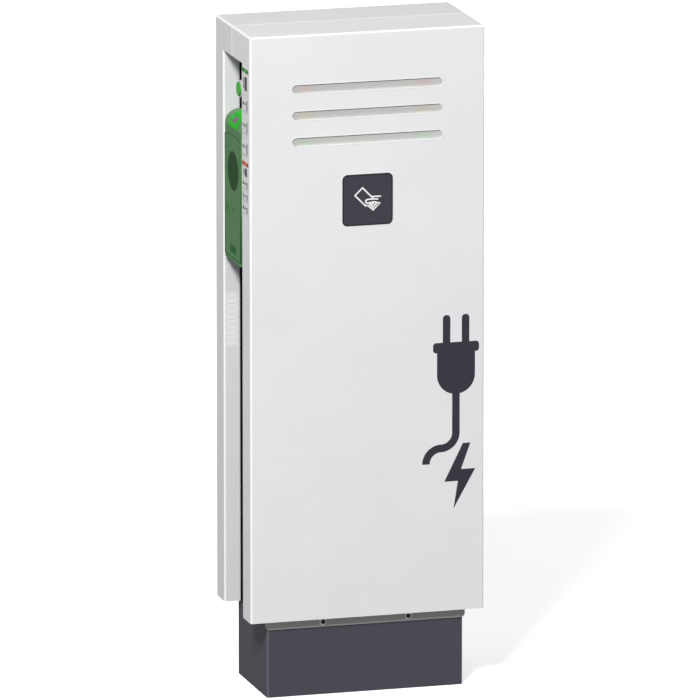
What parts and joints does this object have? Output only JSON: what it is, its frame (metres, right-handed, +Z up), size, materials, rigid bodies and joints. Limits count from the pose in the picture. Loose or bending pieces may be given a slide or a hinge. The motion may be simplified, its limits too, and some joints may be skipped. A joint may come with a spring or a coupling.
{
  "type": "electric vehicle charging post",
  "caption": "Floor standing charging post for electric cars: folded steel cabinet on a plinth, with card reader, light slots, and an outlet under a hinged green hood in each side recess.",
  "frame": {"origin": "on the ground under the middle of the cabinet", "axes": "+Z up, -Y towards the front with the card reader, +X to the right as seen from the front"},
  "size_m": [0.4674, 0.2442, 1.3],
  "materials": {
    "cover_paint": "fine textured powder coat",
    "shell_paint": "fine textured powder coat",
    "plinth_paint": "satin powder coat",
    "black_paint": "matt powder coat",
    "rail_paint": "satin powder coat",
    "zinc_steel": "zinc plated",
    "screw_steel": "blackened",
    "galvanised_sheet": "galvanised sheet",
    "seal_rubber": "foam rubber",
    "window_plastic": "smooth",
    "diffuser_plastic": "frosted",
    "circuit_board": "solder mask",
    "label_vinyl": "printed vinyl",
    "graphic_vinyl": "cut vinyl",
    "device_plastic": "moulded",
    "meter_plastic": "moulded",
    "supply_case": "satin",
    "terminal_plastic": "moulded",
    "gland_plastic": "moulded",
    "cable_sheath": "extruded sheath",
    "hood_plastic": "tinted translucent moulding",
    "arm_plastic": "moulded",
    "insert_plastic": "moulded",
    "disc_plastic": "moulded",
    "grip_plastic": "moulded",
    "lock_plastic": "moulded",
    "outlet_plastic": "moulded",
    "core_plastic": "moulded",
    "contact_plating": "silver plated",
    "lens_plastic": "tinted lens",
    "bezel_plastic": "moulded",
    "toggle_plastic": "moulded"
  },
  "bodies": {
    "root": {"plinth": "plinth_paint", "bottom_tray": "black_paint", "tray_bolts": "zinc_steel", "lower_rail": "rail_paint", "rear_shell": "shell_paint", "cover_seal": "seal_rubber", "mounting_plate": "galvanised_sheet", "plate_screws": "zinc_steel", "din_rails": "galvanised_sheet", "breakers": "device_plastic", "contactors": "device_plastic", "meters": "meter_plastic", "power_supply": "supply_case", "terminal_block": "terminal_plastic", "controller_board": "circuit_board", "cable_glands": "gland_plastic", "harness": "cable_sheath", "hinge_pins": "zinc_steel", "button_switches": "device_plastic", "side_panel_left": "black_paint", "hinge_bracket_left": "galvanised_sheet", "socket_left": "outlet_plastic", "socket_core_left": "core_plastic", "contacts_left": "contact_plating", "lock_actuator_left": "gland_plastic", "button_bezel_left": "bezel_plastic", "side_panel_right": "black_paint", "hinge_bracket_right": "galvanised_sheet", "socket_right": "outlet_plastic", "socket_core_right": "core_plastic", "contacts_right": "contact_plating", "lock_actuator_right": "gland_plastic", "button_bezel_right": "bezel_plastic"},
    "front_cover": {"front_cover": "cover_paint", "cover_hooks": "zinc_steel", "cover_screws": "screw_steel", "reader_window": "window_plastic", "reader_module": "circuit_board", "light_window": "diffuser_plastic", "led_board": "circuit_board", "side_labels": "label_vinyl", "front_graphic": "graphic_vinyl"},
    "flap_left": {"flap_left": "hood_plastic", "flap_arm_left": "arm_plastic", "flap_insert_left": "insert_plastic", "flap_disc_left": "disc_plastic", "flap_grip_left": "grip_plastic", "flap_lock_left": "lock_plastic"},
    "button_left": {"button_left": "lens_plastic"},
    "lock_pin_left": {"lock_pin_left": "zinc_steel"},
    "breaker_toggle_left": {"breaker_toggle_left": "toggle_plastic"},
    "flap_right": {"flap_right": "hood_plastic", "flap_arm_right": "arm_plastic", "flap_insert_right": "insert_plastic", "flap_disc_right": "disc_plastic", "flap_grip_right": "grip_plastic", "flap_lock_right": "lock_plastic"},
    "button_right": {"button_right": "lens_plastic"},
    "lock_pin_right": {"lock_pin_right": "zinc_steel"},
    "breaker_toggle_right": {"breaker_toggle_right": "toggle_plastic"}
  },
  "joints": [
    {"name": "cover_tilt", "type": "hinge", "parent": "root", "child": "front_cover", "pos_m": [0, 0.004, 1.3], "axis": [-1, 0, 0], "range_deg": [0, 20]},
    {"name": "flap_left_hinge", "type": "hinge", "parent": "root", "child": "flap_left", "pos_m": [-0.2055, 0.0025, 1.1235], "axis": [0, 1, 0], "range_deg": [0, 90]},
    {"name": "button_left_press", "type": "slide", "parent": "root", "child": "button_left", "axis": [1, 0, 0], "range_m": [0, 0.003], "stiffness_N_per_m": 400, "springref_m": -0.004},
    {"name": "lock_pin_left_slide", "type": "slide", "parent": "root", "child": "lock_pin_left", "axis": [0, -1, 0], "range_m": [0, 0.005]},
    {"name": "breaker_toggle_left_turn", "type": "hinge", "parent": "root", "child": "breaker_toggle_left", "pos_m": [-0.062, 0.0225, 0.69], "axis": [1, 0, 0], "range_deg": [0, 76]},
    {"name": "flap_right_hinge", "type": "hinge", "parent": "root", "child": "flap_right", "pos_m": [0.2055, 0.0025, 1.1235], "axis": [0, -1, 0], "range_deg": [0, 90]},
    {"name": "button_right_press", "type": "slide", "parent": "root", "child": "button_right", "axis": [-1, 0, 0], "range_m": [0, 0.003], "stiffness_N_per_m": 400, "springref_m": -0.004},
    {"name": "lock_pin_right_slide", "type": "slide", "parent": "root", "child": "lock_pin_right", "axis": [0, -1, 0], "range_m": [0, 0.005]},
    {"name": "breaker_toggle_right_turn", "type": "hinge", "parent": "root", "child": "breaker_toggle_right", "pos_m": [0.062, 0.0225, 0.69], "axis": [1, 0, 0], "range_deg": [0, 76]}
  ]
}
